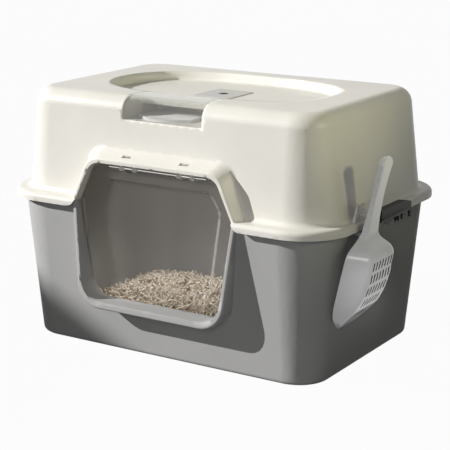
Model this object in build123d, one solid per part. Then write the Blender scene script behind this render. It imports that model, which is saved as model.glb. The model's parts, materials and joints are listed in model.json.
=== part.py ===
from build123d import *
import math
import os
from dataclasses import dataclass

os.makedirs("parts", exist_ok=True)

# Millimetres. Origin on the floor under the middle of the tray; +X right, +Y back, +Z up.
# The entry is on the -Y side.

# ---------------------------------------------------------------- tray
TRAY_WALL = 3.0
FOOT_HALF_X = 241.4
FOOT_HALF_Y = 162.0
FOOT_CORNER = 46.7
FOOT_ROUND = 7.0
SEAM_Z = 212.0
SEAM_HALF_X = 262.3
SEAM_HALF_Y = 181.5
SEAM_CORNER = 69.3
RIM_RISE = 9.0                      # tray wall above the seam, inside the hood's skirt

# ---------------------------------------------------------------- hood
HOOD_WALL = 3.0
HOOD_TOP_Z = 372.0
HOOD_LOW_HALF_X = SEAM_HALF_X - 2.2
HOOD_LOW_HALF_Y = SEAM_HALF_Y - 11.5
HOOD_LOW_CORNER = 64.0
HOOD_TOP_HALF_X = HOOD_LOW_HALF_X - 19.8
HOOD_TOP_HALF_Y = HOOD_LOW_HALF_Y - 12.4
HOOD_TOP_CORNER = 43.9
HOOD_TOP_ROUND = 23.0
FLANGE_OUT_X = 11.9                 # skirt beyond the seam
FLANGE_OUT_Y = 11.2
FLANGE_HALF_X = SEAM_HALF_X + FLANGE_OUT_X
FLANGE_HALF_Y = SEAM_HALF_Y + FLANGE_OUT_Y
FLANGE_CORNER = 73.3
FLANGE_ROUND = 6.5
SHELF_FILLET = 7.5

# ---------------------------------------------------------------- entry in the tray
SILL_Z = 80.0
ENTRY_SEAM_HALF = 129.5             # half width of the entry at the seam
ENTRY_TAPER = 0.116                 # half width lost per mm downwards
ENTRY_CORNER = 32.0
ENTRY_LIP = 6.5                     # lip width at the sides
ENTRY_LIP_BOTTOM = 10.0
ENTRY_LIP_ROUND = 3.0
ENTRY_FRONT_Y = -188.5              # lip plane at the seam
ENTRY_FRONT_LEAN = 0.089            # lip plane moves this far forward per mm downwards
ENTRY_SLEEVE = 3.0
ENTRY_BACK_Y = -167.0

# ---------------------------------------------------------------- arch in the hood
ARCH_SEAM_HALF = 136.0
ARCH_TAPER = 0.477
ARCH_TOP_Z = 280.0
ARCH_CORNER = 22.0
ARCH_FLARE = 15.5
ARCH_LIP = 4.5
ARCH_LIP_ROUND = 2.0
ARCH_FRONT_Y = -188.9
ARCH_FRONT_LEAN = 0.028
ARCH_SLEEVE = 2.5
ARCH_SLEEVE_DEPTH = 14.5
BUMP_BACK_Y = -163.0
BUMP_BACK_HALF = 146.0
BUMP_BACK_TAPER = 0.37
BUMP_BACK_TOP_Z = 297.5
BUMP_BACK_CORNER = 26.0

# ---------------------------------------------------------------- flap and its hinge
FLAP_Y = -172.0
FLAP_THICK = 2.5
FLAP_GAP = 3.6                      # gap between the flap's edge and the entry
FLAP_SILL_GAP = 7.5
FLAP_TOP_Z = 274.5
ROD_Z = 273.5
ROD_R = 1.25
ROD_FIT = 0.05                      # radial running fit
ROD_HALF = 81.0
RIM_ROLL_R = 2.6
RIM_ROLL_HALF = 82.5
PANEL_DEPTH = 5.0
PANEL_TOP_Z = 252.6
PANEL_TOP_HALF = 84.0
PANEL_SHOULDER_Z = 229.0
PANEL_SHOULDER_HALF = 98.5
PANEL_BOTTOM_Z = 108.0
PANEL_BOTTOM_HALF = 80.0
PANEL_CORNER = 12.0
PANEL_BEVEL = 6.0
HINGE_X = 48.0
HINGE_HALF = 13.4
HOOK_WIDTH = 5.0
HOOK_R = 4.7
HOOK_CLEAR = 1.1                    # notch edge to hook
CLIP_PLATE = 2.0
CLIP_BACK_Y = -167.0
CLIP_LOW_Z = 277.6
SLOT_Z = 290.5
SLOT_WIDTH = 15.0
SLOT_HEIGHT = 2.8
TAB_FIT = 0.25
TAB_FRONT_Y = -173.0

# ---------------------------------------------------------------- pocket and its clear cover
POCKET_HALF_X = 65.5
POCKET_FLOOR_Z = 340.0
POCKET_BACK_Y = -75.0
POCKET_WALL = 2.5
COVER_GAP = 0.5
COVER_THICK = 2.0
COVER_BACK_Y = -111.0
COVER_LEDGE = 3.0
PAD_HALF_X = 43.0
PAD_X = -12.0
PAD_FRONT_Y = -152.5
PAD_BACK_Y = -79.0
PAD_BOW_R = 62.0
PAD_THICK = 4.0

# ---------------------------------------------------------------- dish, filter well and vent plate
DISH_HALF_X = 176.7
DISH_HALF_Y = 107.0
DISH_POWER = 2.5
DISH_DEPTH = 13.0
DISH_DRAFT = 2.5
DISH_WALL = 3.0
VENT_HALF_X = 30.5
VENT_HALF_Y = 34.0
VENT_THICK = 2.5
VENT_CORNER = 2.0
VENT_HOLE_R = 7.5
VENT_RECESS = 1.5
VENT_FIT = 0.4
WELL_HALF_X = 26.0
WELL_HALF_Y = 29.5
WELL_DEPTH = 12.0
WELL_WALL = 2.5
WELL_SLOT = 4.0
WELL_SLOT_PITCH = 10.0
WELL_SLOTS = 5
FILTER_FIT = 0.5
FILTER_THICK = 8.0

# ---------------------------------------------------------------- latches (right one; left is mirrored)
LATCH_FRONT_Y = -38.0               # ends beside the scoop
LATCH_BACK_Y = 56.0
LATCH_GAP = 0.8                     # plate to the hood's band
LATCH_THICK = 3.3
LATCH_LOW_Z = SEAM_Z - 1.0
LATCH_TOP_Z = SEAM_Z + 16.0
LATCH_LIFT_GAP = 0.5                # hook to the hood's shelf
LATCH_REACH = 7.5                   # hook over the shelf, beyond the plate
LATCH_REACH_BACK_Y = 35.0
LATCH_SHOULDER_Y = 38.0             # from here the plate's top falls to its back end
LATCH_SHOULDER_DROP = 4.5
LATCH_TAIL_WIDTH = 4.0
LATCH_TAIL_Z = SEAM_Z - 11.0
LATCH_LIP_BACK_Y = 33.0
LATCH_LIP_OUT = 3.5
LATCH_LIP_Z = SEAM_Z + 4.5
LATCH_LIP_THICK = 2.0
PIN_X = FLANGE_HALF_X - 4.2
PIN_Z = SEAM_Z - 9.0
PIN_R = 1.5
PIN_FIT = 0.06
EYE_R = 4.0
ARM_WIDTH = 4.5
ARM_Y = (19.0, 30.5)
CHEEK_R = 5.0
CHEEK_WIDTH = 3.0
CHEEK_Y = (8.0, 44.0)
CHEEK_PIN_BITE = 2.0                # pin end sits this deep in a cheek
PIN_END_FIT = 0.2

# ---------------------------------------------------------------- scoop, its peg and its rest
# The scoop's own axes: length upwards from its front edge, across, and outwards from its rim.
SCOOP_FOOT_Z = 75.1
SCOOP_Y = -83.8
SCOOP_GAP = 0.6                     # front edge to the tray's wall
SCOOP_LEAN = 13.0                   # its top leans outwards
SCOOP_TURN = 1.0                    # its face turns a little to the back
SCOOP_WALL = 1.8
# Blade sections: (along, rim half width, floor half width, depth, floor corner)
BLADE_SECTIONS = (
    (0.0, 24.0, 22.5, 2.6, 0.7),
    (8.0, 33.5, 29.0, 7.5, 2.5),
    (22.0, 44.5, 35.0, 16.0, 6.0),
    (45.0, 49.5, 36.5, 27.0, 9.0),
    (67.0, 49.5, 36.0, 31.5, 10.0),
    (88.0, 49.0, 35.0, 33.0, 10.0),
    (106.0, 48.5, 33.5, 32.5, 10.0),
    (118.0, 44.0, 32.0, 30.5, 10.0),
    (125.5, 34.5, 26.5, 24.0, 8.5),
    (130.5, 26.0, 20.5, 16.0, 6.0),
    (140.0, 17.0, 15.0, 9.5, 3.0),
)
HANDLE_SECTIONS = (
    (140.0, 17.0, 15.0, 9.5, 3.0),
    (156.0, 14.6, 13.6, 8.2, 2.6),
    (236.0, 14.0, 13.0, 8.0, 2.6),
)
HANDLE_END_ROUND = 11.0
SLIT_WIDTH = 3.4
SLIT_PITCH = 8.2
SLIT_LENGTH = 13.0
SLIT_ROWS = ((104.5, 7), (87.0, 7), (67.5, 7), (47.5, 6), (28.0, 4))
WEB_ALONG = 135.0                   # underside of the web that hangs on the tray's peg
WEB_THICK = 2.5
WEB_DEPTH = 2.4
PEG_HALF_WIDTH = 5.5
PEG_THICK = 5.0
PEG_REACH = 5.2                     # outwards from the scoop's rim plane
PEG_TIP = 1.8
PEG_TIP_RISE = 3.0
PEG_FIT = 0.1
REST_X = FLANGE_HALF_X - 3.7         # outer face of the rest plate
REST_THICK = 3.2
REST_LOW_Y = (-104.0, -63.0)
REST_TOP_Y = (-93.5, -71.0)
REST_HEIGHT = 21.0
REST_DRAIN_R = 1.4
REST_DRAIN_Y = -89.5
REST_ALONG = 164.0                  # top of the finger that steadies the handle
REST_FINGER_THICK = 5.0
REST_FINGER_HALF_WIDTH = 5.5
REST_GAP = 0.4

# ---------------------------------------------------------------- litter
LITTER_EDGE_Z = 13.0
LITTER_TOP_Z = 49.0
LITTER_TOP_HALF_X = 150.0
LITTER_TOP_HALF_Y = 64.0
LITTER_TOP_CORNER = 50.0
LITTER_GAP = 1.0

# ---------------------------------------------------------------- worked out from the above
RIM_Z = SEAM_Z + RIM_RISE
SHELF_Z = RIM_Z + HOOD_WALL
DISH_FLOOR_Z = HOOD_TOP_Z - DISH_DEPTH
FAR = 400.0                         # beyond the part on every side


@dataclass
class Taper:
    """A wall that is a rounded rectangle at two heights and straight between them."""

    low_z: float
    low: tuple
    high_z: float
    high: tuple

    def section(self, z, inset=0.0):
        """Half width, half depth and corner radius at a height, drawn in by inset."""
        t = (z - self.low_z) / (self.high_z - self.low_z)
        half_x, half_y, corner = (a + (b - a) * t for a, b in zip(self.low, self.high))
        return half_x - inset, half_y - inset, max(corner - inset, 1.0)

    def half_x(self, z):
        return self.section(z)[0]

    def half_y(self, z):
        return self.section(z)[1]

    def solid(self, z_from, z_to, inset=0.0):
        """The block between two heights."""
        return loft([rounded(*self.section(z, inset), z) for z in (z_from, z_to)])


TRAY = Taper(0.0, (FOOT_HALF_X, FOOT_HALF_Y, FOOT_CORNER), SEAM_Z, (SEAM_HALF_X, SEAM_HALF_Y, SEAM_CORNER))
HOOD = Taper(
    SHELF_Z, (HOOD_LOW_HALF_X, HOOD_LOW_HALF_Y, HOOD_LOW_CORNER),
    HOOD_TOP_Z, (HOOD_TOP_HALF_X, HOOD_TOP_HALF_Y, HOOD_TOP_CORNER),
)


# ---------------------------------------------------------------- small builders
def rounded(half_x, half_y, corner, z):
    """A level rounded rectangle at height z."""
    return (Pos(0, 0, z) * RectangleRounded(2 * half_x, 2 * half_y, corner)).face()


def block(x, y, z):
    """A box from its limits on each axis."""
    size = (abs(x[1] - x[0]), abs(y[1] - y[0]), abs(z[1] - z[0]))
    return Pos(sum(x) / 2, sum(y) / 2, sum(z) / 2) * Box(*size)


def rounded_prism(half_x, half_y, corner, z_from, z_to):
    """An upright rounded prism on the Z axis."""
    return extrude(rounded(half_x, half_y, corner, z_from), z_to - z_from, dir=(0, 0, 1))


def front_face(points, radii, y):
    """A face in the plane at y from (x, z) points, each corner rounded by its radius."""
    outline = make_face(Polyline(*[(x, 0, z) for x, z in points], close=True))
    for (x, z), radius in zip(points, radii):
        if radius > 0:
            corner = outline.vertices().sort_by_distance((x, 0, z))[0]
            outline = fillet(corner, radius)
    return Pos(0, y, 0) * outline


def front_prism(points, radii, y_from, y_to):
    """A front_face outline carried back along Y."""
    return extrude(front_face(points, radii, y_from), y_to - y_from, dir=(0, 1, 0))


def mirrored_outline(right_side):
    """A closed outline from the points of its right half, bottom to top."""
    return right_side + [(-x, z) for x, z in reversed(right_side)]


def lean_wedge(front_y, lean, z_from, z_to):
    """All that lies in front of a plane that leans forward towards its bottom."""
    side = [(front_y + lean * (z - SEAM_Z), z) for z in (z_from, z_to)]
    side += [(-FAR, z_to), (-FAR, z_from)]
    face = make_face(Polyline(*[(0, y, z) for y, z in side], close=True))
    return extrude(face, FAR, dir=(1, 0, 0), both=True)


def x_cylinder(radius, x_from, x_to, y, z):
    """A cylinder along X."""
    return Pos((x_from + x_to) / 2, y, z) * Rot(0, 90, 0) * Cylinder(radius, x_to - x_from)


def x_prism(points, x_from, x_to):
    """A solid from x_from to x_to over (y, z) points."""
    face = make_face(Polyline(*[(x_from, y, z) for y, z in points], close=True))
    return extrude(face, x_to - x_from, dir=(1, 0, 0))


def y_cylinder(radius, y_from, y_to, x, z):
    """A cylinder along Y."""
    return Pos(x, (y_from + y_to) / 2, z) * Rot(90, 0, 0) * Cylinder(radius, y_to - y_from)


def only_solid(shape):
    """The largest solid of a shape, so that no sliver is left over."""
    return max(shape.solids(), key=lambda solid: solid.volume)


def save(shape, node):
    """Write one node."""
    solid = only_solid(shape)
    export_step(solid, f"parts/{node}.step")
    return solid


# ---------------------------------------------------------------- entry outlines
def entry_half(z):
    """Half width of the tray's entry at a height."""
    return ENTRY_SEAM_HALF - ENTRY_TAPER * (SEAM_Z - z)


def entry_points(side_grow, bottom_grow, top_z):
    """The tray's entry, grown at the sides and at the bottom."""
    low_z = SILL_Z - bottom_grow
    low, top = entry_half(low_z) + side_grow, entry_half(top_z) + side_grow
    return mirrored_outline([(low, low_z), (top, top_z)])


def entry_prism(side_grow, bottom_grow, top_z, y_from, y_to):
    """The tray's entry as a solid from y_from back to y_to."""
    corner = ENTRY_CORNER + min(side_grow, bottom_grow)
    return front_prism(entry_points(side_grow, bottom_grow, top_z), (corner, 0, 0, corner), y_from, y_to)


def arch_half(z, grow=0.0):
    """Half width of the hood's arch at a height."""
    return ARCH_SEAM_HALF - ARCH_TAPER * (z - SEAM_Z) + grow * math.sqrt(1 + ARCH_TAPER ** 2)


def arch_prism(grow, y_from, y_to, flared=True):
    """The hood's arch as a solid from y_from back to y_to, with its flared feet."""
    top_z = ARCH_TOP_Z + grow
    side = [(arch_half(SEAM_Z, grow), SEAM_Z), (arch_half(top_z, grow), top_z)]
    radii = [ARCH_FLARE if flared else 0, ARCH_CORNER + grow]
    if flared:
        feet = arch_half(SEAM_Z, grow) + 2 * ARCH_FLARE
        side = [(feet, SEAM_Z - ARCH_FLARE), (feet, SEAM_Z)] + side
        radii = [0, 0] + radii
    return front_prism(mirrored_outline(side), radii + radii[::-1], y_from, y_to)


# ---------------------------------------------------------------- tray
def tray_shell():
    outer = TRAY.solid(0, RIM_Z)
    outer = fillet(outer.faces().sort_by(Axis.Z)[0].edges(), FOOT_ROUND)
    inner = TRAY.solid(TRAY_WALL, RIM_Z + 1, TRAY_WALL)
    inner = fillet(inner.faces().sort_by(Axis.Z)[0].edges(), FOOT_ROUND - TRAY_WALL)
    return outer - inner, inner


def entry_frame(tray_inner):
    """The deep lip round the entry, and the short sleeve that runs in behind it."""
    wedge = lean_wedge(ENTRY_FRONT_Y, ENTRY_FRONT_LEAN, 0, RIM_Z + 10)
    lip = entry_prism(ENTRY_LIP, ENTRY_LIP_BOTTOM, RIM_Z, -FAR / 1.5, ENTRY_BACK_Y) - wedge
    front_edges = [e for e in lip.edges() if on_lean_plane(e, ENTRY_FRONT_Y, ENTRY_FRONT_LEAN)]
    lip = fillet([e for e in front_edges if e.center().Z < RIM_Z - 1], ENTRY_LIP_ROUND)
    sleeve = entry_prism(ENTRY_SLEEVE, ENTRY_SLEEVE, RIM_Z, -TRAY.half_y(SILL_Z), ENTRY_BACK_Y)
    return (lip - tray_inner) + sleeve


def on_lean_plane(edge, front_y, lean):
    """True where an edge lies in a leaning front plane."""
    return all(
        abs(p.Y - (front_y + lean * (p.Z - SEAM_Z))) < 0.01
        for p in (edge.position_at(0), edge.position_at(0.5), edge.position_at(1))
    )


def latch_cheeks():
    """Cheeks on the tray's right wall that hold the ends of the latch pins."""
    cheeks = []
    wall_x = TRAY.half_x(PIN_Z) - TRAY_WALL / 2
    for centre in CHEEK_Y:
        y = (centre - CHEEK_WIDTH / 2, centre + CHEEK_WIDTH / 2)
        arm = block((wall_x, PIN_X), y, (PIN_Z - CHEEK_R, PIN_Z + CHEEK_R))
        cheeks.append(arm + y_cylinder(CHEEK_R, *y, PIN_X, PIN_Z))
    return cheeks


def pin_span():
    """The length of a latch pin, from cheek to cheek."""
    bite = CHEEK_PIN_BITE - CHEEK_WIDTH / 2
    return CHEEK_Y[0] - bite, CHEEK_Y[1] + bite


def pin_cradle():
    """What a pin needs cut from its two cheeks: a seat that is open at the top."""
    radius = PIN_R + PIN_FIT
    start, end = pin_span()
    y = (start - PIN_END_FIT, end + PIN_END_FIT)
    seat = y_cylinder(radius, *y, PIN_X, PIN_Z)
    return seat + block((PIN_X - radius, PIN_X + radius), y, (PIN_Z, PIN_Z + CHEEK_R + 1))


def mirror_x(shape):
    return mirror(shape, Plane.YZ)


def base_tray():
    shell, inner = tray_shell()
    tray = shell + entry_frame(inner)
    tray -= entry_prism(0, 0, RIM_Z + 20, -FAR / 1.5, ENTRY_BACK_Y + 1)
    cheeks = latch_cheeks()
    for cheek in cheeks + [mirror_x(c) for c in cheeks]:
        tray += cheek
    tray += scoop_peg()
    cradle = pin_cradle()
    return tray - cradle - mirror_x(cradle)


def litter_bed():
    """A heap with a flat foot on the tray's floor and a lower shoulder at the walls."""
    edge = rounded(*TRAY.section(LITTER_EDGE_Z, TRAY_WALL + LITTER_GAP), LITTER_EDGE_Z)
    foot = rounded(*TRAY.section(TRAY_WALL, TRAY_WALL + LITTER_GAP + FOOT_ROUND), TRAY_WALL)
    top = rounded(LITTER_TOP_HALF_X, LITTER_TOP_HALF_Y, LITTER_TOP_CORNER, LITTER_TOP_Z)
    return loft([foot, edge], ruled=True) + loft([edge, top], ruled=True)


# ---------------------------------------------------------------- hood
def hood_outer():
    """The hood's walls with their rounded top."""
    walls = HOOD.solid(RIM_Z, HOOD_TOP_Z)
    return fillet(walls.faces().sort_by(Axis.Z)[-1].edges(), HOOD_TOP_ROUND)


def hood_offset(inset):
    """The hood's outside drawn in by inset, its rounded top too."""
    walls = HOOD.solid(RIM_Z - 1, HOOD_TOP_Z - inset, inset)
    return fillet(walls.faces().sort_by(Axis.Z)[-1].edges(), HOOD_TOP_ROUND - inset)


def flange():
    """The skirt over the tray's rim with its rounded shoulder."""
    skirt = rounded_prism(FLANGE_HALF_X, FLANGE_HALF_Y, FLANGE_CORNER, SEAM_Z, SHELF_Z)
    return fillet(skirt.faces().sort_by(Axis.Z)[-1].edges(), FLANGE_ROUND)


def skirt_cavity():
    """The space under the flange, which the tray's rim fills."""
    inset = HOOD_WALL
    half_x, half_y = FLANGE_HALF_X - inset, FLANGE_HALF_Y - inset
    return rounded_prism(half_x, half_y, FLANGE_CORNER - inset, SEAM_Z - 1, RIM_Z)


def bump_solid(inset, y_front, y_back):
    """The swelling round the arch, drawn in by inset, between two planes."""
    def outline(y):
        front_top = ARCH_TOP_Z + ARCH_LIP
        t = (y - ARCH_FRONT_Y) / (BUMP_BACK_Y - ARCH_FRONT_Y)
        half = arch_half(SEAM_Z, ARCH_LIP) + (BUMP_BACK_HALF - arch_half(SEAM_Z, ARCH_LIP)) * t - inset
        taper = ARCH_TAPER + (BUMP_BACK_TAPER - ARCH_TAPER) * t
        top_z = front_top + (BUMP_BACK_TOP_Z - front_top) * t - inset
        corner = ARCH_CORNER + ARCH_LIP + (BUMP_BACK_CORNER - ARCH_CORNER - ARCH_LIP) * t - inset
        points = mirrored_outline([(half, SEAM_Z), (half - taper * (top_z - SEAM_Z), top_z)])
        return front_face(points, (0, corner, corner, 0), y)

    return loft([outline(y_front), outline(y_back)])


def arch_wedge(inset=0.0):
    """All in front of the arch's lip, or of its back face where inset by the wall."""
    return lean_wedge(ARCH_FRONT_Y + inset, ARCH_FRONT_LEAN, SEAM_Z - 60, HOOD_TOP_Z)


def bump_outer():
    bump = bump_solid(0, ARCH_FRONT_Y - 5, BUMP_BACK_Y) - arch_wedge()
    edges = [e for e in bump.edges() if on_lean_plane(e, ARCH_FRONT_Y, ARCH_FRONT_LEAN)]
    return fillet([e for e in edges if e.center().Z > RIM_Z - 5], ARCH_LIP_ROUND)


def arch_sleeve():
    """The short return behind the arch's lip."""
    back_y = ARCH_FRONT_Y + ARCH_SLEEVE_DEPTH
    ring = arch_prism(ARCH_SLEEVE, ARCH_FRONT_Y - 5, back_y) - arch_prism(0, ARCH_FRONT_Y - 10, back_y + 5)
    return ring - arch_wedge() - skirt_cavity() - block((-FAR, FAR), (-FAR, FAR), (0, RIM_Z))


def superellipse(half_x, half_y, z):
    """A level superellipse face."""
    steps = 64
    points = []
    for i in range(steps):
        angle = 2 * math.pi * (i + 0.5) / steps
        c, s = math.cos(angle), math.sin(angle)
        x = math.copysign(half_x * abs(c) ** (2 / DISH_POWER), c)
        y = math.copysign(half_y * abs(s) ** (2 / DISH_POWER), s)
        points.append((x, y, z))
    return make_face(Spline(*points, periodic=True))


def dish_block(grow, floor_z):
    """The dish's hollow, or the block that carries it where it is grown."""
    top = superellipse(DISH_HALF_X + grow, DISH_HALF_Y + grow, HOOD_TOP_Z + 1)
    low = superellipse(DISH_HALF_X + grow - DISH_DRAFT, DISH_HALF_Y + grow - DISH_DRAFT, floor_z)
    return loft([low, top])


def well_box(grow, low_z, high_z):
    half_x, half_y = WELL_HALF_X + grow, WELL_HALF_Y + grow
    return block((-half_x, half_x), (-half_y, half_y), (low_z, high_z))


def well_floor_z():
    return DISH_FLOOR_Z - VENT_RECESS - WELL_DEPTH


def vent_plate_block(fit, low_z, high_z):
    prism = rounded_prism(VENT_HALF_X + fit, VENT_HALF_Y + fit, VENT_CORNER + fit, low_z, high_z)
    return prism


def hood():
    outer = hood_skin() + bump_outer()
    cavity = hood_offset(HOOD_WALL)
    liners = dish_block(DISH_WALL, DISH_FLOOR_Z - DISH_WALL) + pocket_liner() + well_box(
        WELL_WALL, well_floor_z() - WELL_WALL, DISH_FLOOR_Z)
    body = outer - (cavity - liners) - skirt_cavity()
    body -= bump_solid(HOOD_WALL, ARCH_FRONT_Y - 5, BUMP_BACK_Y + 8) - arch_wedge(HOOD_WALL)
    body += arch_sleeve()
    body -= arch_prism(0, -FAR / 1.5, BUMP_BACK_Y + 20)
    body -= dish_block(0, DISH_FLOOR_Z)
    body -= vent_plate_block(VENT_FIT, DISH_FLOOR_Z - VENT_RECESS, DISH_FLOOR_Z + 1)
    body -= well_box(0, well_floor_z(), DISH_FLOOR_Z)
    for i in range(WELL_SLOTS):
        x = (i - (WELL_SLOTS - 1) / 2) * WELL_SLOT_PITCH
        body -= block(
            (x - WELL_SLOT / 2, x + WELL_SLOT / 2), (-WELL_HALF_Y + 4, WELL_HALF_Y - 4),
            (well_floor_z() - 2 * WELL_WALL, well_floor_z() + 1))
    body -= pocket_hollow()
    for side in (-1, 1):
        body -= tab_slot(side)
    return body


def is_shelf_junction(edge):
    """True for the inner edge of the shelf, where the walls rise from it."""
    points = [edge.position_at(t) for t in (0, 0.5, 1)]
    if any(abs(p.Z - SHELF_Z) > 0.01 for p in points):
        return False
    return all(abs(p.X) < HOOD_LOW_HALF_X + 0.5 and abs(p.Y) < HOOD_LOW_HALF_Y + 0.5 for p in points)


def pocket_hollow():
    """What is cut from the hood: the pocket itself and the mouth that the clear cover closes."""
    x = (-POCKET_HALF_X, POCKET_HALF_X)
    roof_z = DISH_FLOOR_Z - DISH_WALL
    hollow = block(x, (-FAR, POCKET_BACK_Y), (POCKET_FLOOR_Z, roof_z))
    mouth = block(x, (-FAR, COVER_BACK_Y - COVER_LEDGE), (POCKET_FLOOR_Z, HOOD_TOP_Z + 1))
    seat = block(x, (-FAR, COVER_BACK_Y + COVER_GAP), (POCKET_FLOOR_Z, HOOD_TOP_Z + 1))
    return hollow + mouth + (seat - hood_offset(COVER_THICK + TAB_FIT))


def pocket_liner():
    """The pocket's floor, sides and back wall, as a block inside the hood."""
    grow = POCKET_WALL
    x = (-POCKET_HALF_X - grow, POCKET_HALF_X + grow)
    return block(x, (-FAR, POCKET_BACK_Y + grow), (POCKET_FLOOR_Z - grow, HOOD_TOP_Z))


def tab_slot(side):
    x = side * HINGE_X
    return block(
        (x - SLOT_WIDTH / 2, x + SLOT_WIDTH / 2), (-FAR, CLIP_BACK_Y + TAB_FIT),
        (SLOT_Z - SLOT_HEIGHT / 2, SLOT_Z + SLOT_HEIGHT / 2))


def window_cover():
    """The clear lid: a piece of the hood's own skin."""
    skin = hood_outer() - hood_offset(COVER_THICK)
    half = POCKET_HALF_X - COVER_GAP
    keep = block((-half, half), (-FAR, COVER_BACK_Y), (POCKET_FLOOR_Z, HOOD_TOP_Z + 1))
    return skin & keep


def deodorant_pad():
    x = (PAD_X - PAD_HALF_X, PAD_X + PAD_HALF_X)
    z = (POCKET_FLOOR_Z, POCKET_FLOOR_Z + PAD_THICK)
    slab = block(x, (PAD_FRONT_Y - 10, PAD_BACK_Y), z)
    bow = Pos(PAD_X, PAD_FRONT_Y + PAD_BOW_R, POCKET_FLOOR_Z + PAD_THICK / 2) * Cylinder(PAD_BOW_R, PAD_THICK)
    return slab & (bow + block(x, (PAD_FRONT_Y + PAD_BOW_R, PAD_BACK_Y + 1), z))


def vent_cover():
    seat_z = DISH_FLOOR_Z - VENT_RECESS
    plate = vent_plate_block(0, seat_z, seat_z + VENT_THICK)
    return plate - Pos(0, 0, seat_z) * Cylinder(VENT_HOLE_R, 4 * VENT_THICK)


def carbon_filter():
    floor_z = well_floor_z()
    return well_box(-FILTER_FIT, floor_z, floor_z + FILTER_THICK)


# ---------------------------------------------------------------- flap and hinge
def flap_half(z):
    """Half width of the flap at a height, a set gap inside the narrower of the two entries."""
    return min(entry_half(z), arch_half(z)) - FLAP_GAP


def flap_outline():
    low_z = SILL_Z + FLAP_SILL_GAP
    seam_half = flap_half(SEAM_Z + ARCH_FLARE)
    side = [
        (flap_half(low_z), low_z), (seam_half, SEAM_Z + ARCH_FLARE),
        (arch_half(FLAP_TOP_Z) - FLAP_GAP, FLAP_TOP_Z),
    ]
    corner = ENTRY_CORNER - FLAP_GAP
    top_corner = ARCH_CORNER - FLAP_GAP
    return mirrored_outline(side), (corner, 0, top_corner, top_corner, 0, corner)


def panel_outline(grow):
    side = [
        (PANEL_BOTTOM_HALF + grow, PANEL_BOTTOM_Z - grow), (PANEL_SHOULDER_HALF + grow, PANEL_SHOULDER_Z),
        (PANEL_TOP_HALF + grow / 2, PANEL_TOP_Z + grow / 2),
    ]
    return mirrored_outline(side), (PANEL_CORNER, PANEL_CORNER, 5, 5, PANEL_CORNER, PANEL_CORNER)


def panel_bulge(y_front):
    """The panel's inward bulge, its wide end at y_front."""
    wide = front_face(*panel_outline(PANEL_BEVEL), y_front)
    narrow = front_face(*panel_outline(0), y_front + PANEL_DEPTH)
    return loft([wide, narrow])


def door_flap():
    front_y = FLAP_Y - FLAP_THICK / 2
    back_y = FLAP_Y + FLAP_THICK / 2
    flap = front_prism(*flap_outline(), front_y, back_y)
    flap += panel_bulge(back_y)
    flap += x_cylinder(RIM_ROLL_R, -RIM_ROLL_HALF, RIM_ROLL_HALF, FLAP_Y, ROD_Z)
    flap -= panel_bulge(front_y)
    for side in (-1, 1):
        x = side * HINGE_X
        half = HINGE_HALF + HOOK_CLEAR
        notch_z = (ROD_Z - HOOK_R - HOOK_CLEAR, ROD_Z + 10)
        flap -= block((x - half, x + half), (FLAP_Y - 8, FLAP_Y + 8), notch_z)
    return flap - x_cylinder(ROD_R + ROD_FIT, -ROD_HALF - 5, ROD_HALF + 5, FLAP_Y, ROD_Z)


def door_rod():
    return x_cylinder(ROD_R, -ROD_HALF, ROD_HALF, FLAP_Y, ROD_Z)


def hinge_clip(side):
    """Two hooks round the rod on a plate whose tab sits in the hood's slot."""
    centre = side * HINGE_X
    plate_y = (CLIP_BACK_Y - CLIP_PLATE, CLIP_BACK_Y)
    slot_low = SLOT_Z - SLOT_HEIGHT / 2
    tab_top = SLOT_Z + SLOT_HEIGHT / 2 - TAB_FIT
    clip = block((centre - HINGE_HALF, centre + HINGE_HALF), plate_y, (CLIP_LOW_Z, slot_low))
    tab_half = SLOT_WIDTH / 2 - TAB_FIT
    clip += block((centre - tab_half, centre + tab_half), plate_y, (slot_low - 1, tab_top))
    clip += block((centre - tab_half, centre + tab_half), (TAB_FRONT_Y, CLIP_BACK_Y), (slot_low, tab_top))
    for end in (-1, 1):
        x = centre + end * (HINGE_HALF - HOOK_WIDTH / 2)
        span = (x - HOOK_WIDTH / 2, x + HOOK_WIDTH / 2)
        eye = x_cylinder(HOOK_R, *span, FLAP_Y, ROD_Z)
        arm = block(span, (FLAP_Y, CLIP_BACK_Y), (CLIP_LOW_Z - 1, CLIP_LOW_Z + 4))
        neck = block(span, (FLAP_Y - 1, FLAP_Y + 2), (ROD_Z, CLIP_LOW_Z + 4))
        clip += eye + arm + neck
    return clip - x_cylinder(ROD_R + ROD_FIT, centre - 40, centre + 40, FLAP_Y, ROD_Z)


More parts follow.
